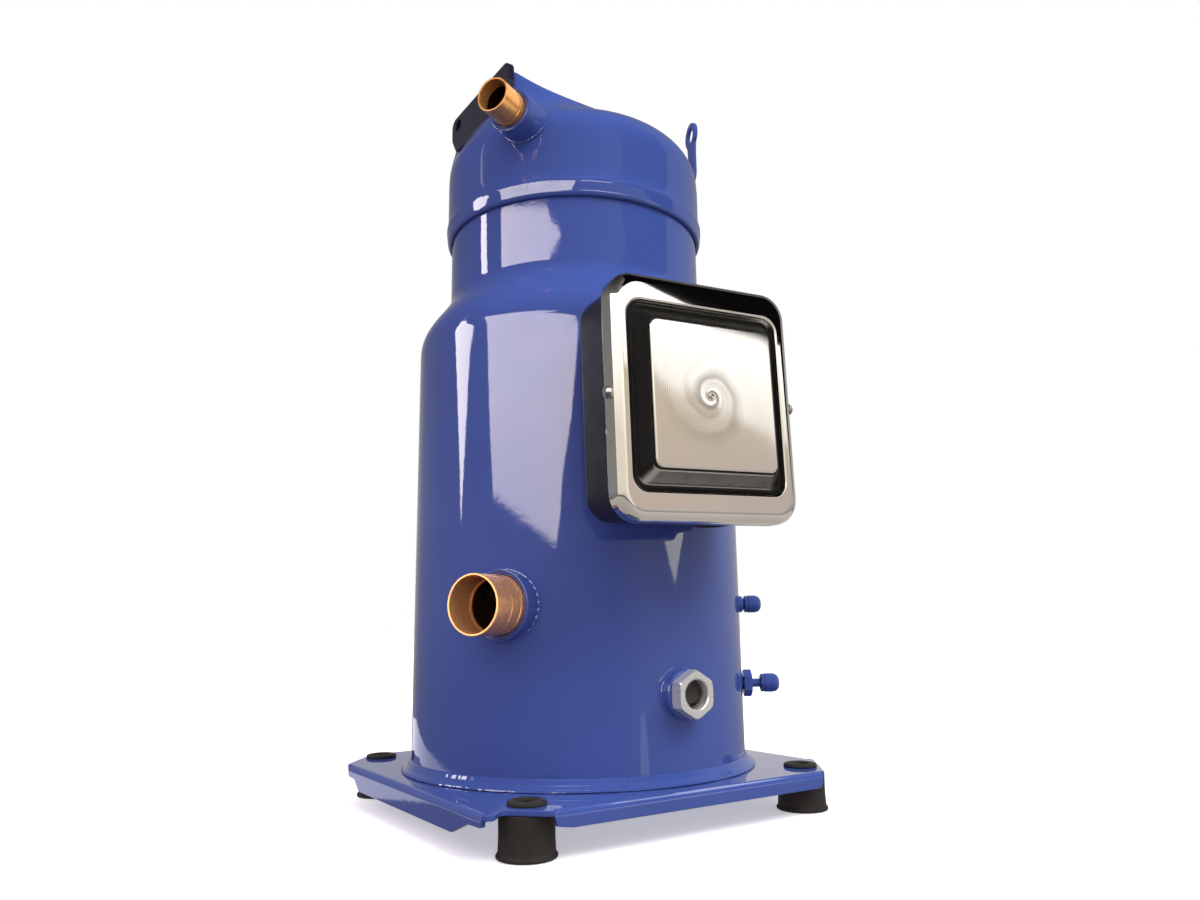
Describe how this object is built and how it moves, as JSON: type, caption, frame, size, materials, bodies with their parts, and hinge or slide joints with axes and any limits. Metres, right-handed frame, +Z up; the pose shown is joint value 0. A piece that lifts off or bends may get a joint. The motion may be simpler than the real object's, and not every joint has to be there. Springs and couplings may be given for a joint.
{
  "type": "scroll compressor",
  "caption": "Upright hermetic scroll compressor: stepped steel shell on a square base with rubber feet, copper stubs, terminal box, sight glass and the motor and scroll set inside",
  "frame": {"origin": "on the floor under the middle of the footprint's bounding box; the shaft's axis stands 25 mm behind it in +Y", "axes": "+Z up along the shaft; -Y is the side with the terminal box and sight glass; the suction and discharge stubs point toward -X, turned 28 degrees toward -Y"},
  "size_m": [0.284, 0.3336, 0.5592],
  "materials": {
    "blue_paint": "gloss enamel",
    "copper": "drawn copper tube, lightly tarnished",
    "chromed_steel": "bright plated sheet",
    "black_plastic": "moulded, semi-gloss",
    "black_rubber": "moulded, matt",
    "zinc_plate": "zinc plated",
    "bright_steel": "machined",
    "cast_iron": "as cast and machined",
    "cast_aluminium": "as cast and machined",
    "bearing_bronze": "machined",
    "lamination_steel": "stacked laminations",
    "enamelled_copper": "varnished winding",
    "sight_glass": "fused glass"
  },
  "bodies": {
    "compressor": {"shell_body": "blue_paint", "bottom_cap": "cast_iron", "foot_weld": "blue_paint", "top_cap": "blue_paint", "cap_bracket": "blue_paint", "lifting_lug": "blue_paint", "base_plate": "blue_paint", "foot_front_left": "black_rubber", "foot_front_right": "black_rubber", "foot_rear_left": "black_rubber", "foot_rear_right": "black_rubber", "suction_boss": "blue_paint", "suction_stub": "copper", "discharge_boss": "blue_paint", "discharge_stub": "copper", "sight_glass_boss": "blue_paint", "sight_glass_body": "zinc_plate", "sight_glass_lens": "sight_glass", "service_port_body": "blue_paint", "oil_port_body": "blue_paint", "oil_port_nut": "blue_paint", "terminal_box_body": "black_plastic", "cable_grommet": "black_rubber", "terminal_seat": "bright_steel", "hermetic_terminal": "bright_steel", "terminal_block": "black_plastic", "power_pin_1": "bright_steel", "power_pin_2": "bright_steel", "power_pin_3": "bright_steel", "earth_screw": "zinc_plate", "motor_housing": "bright_steel", "stator_core": "lamination_steel", "lower_winding": "enamelled_copper", "upper_winding": "enamelled_copper", "lower_bearing_bracket": "cast_iron", "lower_bearing": "bearing_bronze", "main_frame": "cast_iron", "main_bearing": "bearing_bronze", "fixed_scroll": "cast_iron", "check_valve_guard": "bright_steel", "separator_plate": "bright_steel"},
    "shaft": {"crankshaft": "bright_steel", "rotor": "cast_aluminium", "upper_counterweight": "cast_iron", "lower_counterweight": "cast_iron", "oil_pickup": "bright_steel"},
    "orbiting": {"orbiting_scroll": "cast_aluminium", "drive_bush": "bearing_bronze"},
    "oldham": {"oldham_ring": "cast_aluminium"},
    "valve_disc": {"check_valve_disc": "bright_steel"},
    "cover": {"cover_rim": "chromed_steel", "cover_recess_frame": "black_plastic", "cover_panel": "chromed_steel"},
    "screw_left": {"cover_screw_left": "zinc_plate"},
    "screw_right": {"cover_screw_right": "zinc_plate"},
    "service_cap": {"service_port_cap": "blue_paint"},
    "oil_cap": {"oil_port_cap": "blue_paint"},
    "service_core": {"service_port_core": "bright_steel"},
    "oil_core": {"oil_port_core": "bright_steel"}
  },
  "joints": [
    {"name": "crank_spin", "type": "hinge", "parent": "compressor", "child": "shaft", "pos_m": [0, 0.025, 0], "axis": [0, 0, 1], "continuous": true},
    {"name": "scroll_orbit", "type": "hinge", "parent": "shaft", "child": "orbiting", "pos_m": [0, 0.0305, 0], "axis": [0, 0, 1], "continuous": true},
    {"name": "oldham_slide", "type": "slide", "parent": "compressor", "child": "oldham", "axis": [1, 0, 0], "range_m": [-0.0055, 0.0055]},
    {"name": "check_valve_lift", "type": "slide", "parent": "compressor", "child": "valve_disc", "axis": [0, 0, 1], "range_m": [0, 0.003]},
    {"name": "cover_pull", "type": "slide", "parent": "compressor", "child": "cover", "axis": [-0.0958, -0.9954, 0], "range_m": [0, 0.06]},
    {"name": "cover_screw_left_turn", "type": "hinge", "parent": "cover", "child": "screw_left", "pos_m": [-0.0829, -0.14233, 0.25936], "axis": [-0.9951, 0.0958, -0.0262], "continuous": true},
    {"name": "cover_screw_right_turn", "type": "hinge", "parent": "cover", "child": "screw_right", "pos_m": [0.04945, -0.15507, 0.26284], "axis": [0.9951, -0.0958, 0.0262], "continuous": true},
    {"name": "service_cap_pull", "type": "slide", "parent": "compressor", "child": "service_cap", "axis": [0.8192, -0.5736, 0], "range_m": [0, 0.015]},
    {"name": "oil_cap_pull", "type": "slide", "parent": "compressor", "child": "oil_cap", "axis": [0.8192, -0.5736, 0], "range_m": [0, 0.015]},
    {"name": "service_core_press", "type": "slide", "parent": "compressor", "child": "service_core", "axis": [-0.8192, 0.5736, 0], "range_m": [0, 0.0012], "stiffness_N_per_m": 400},
    {"name": "oil_core_press", "type": "slide", "parent": "compressor", "child": "oil_core", "axis": [-0.8192, 0.5736, 0], "range_m": [0, 0.0012], "stiffness_N_per_m": 400}
  ],
  "couplings": [
    {"joint": "scroll_orbit", "follows": "crank_spin", "ratio": -1}
  ]
}
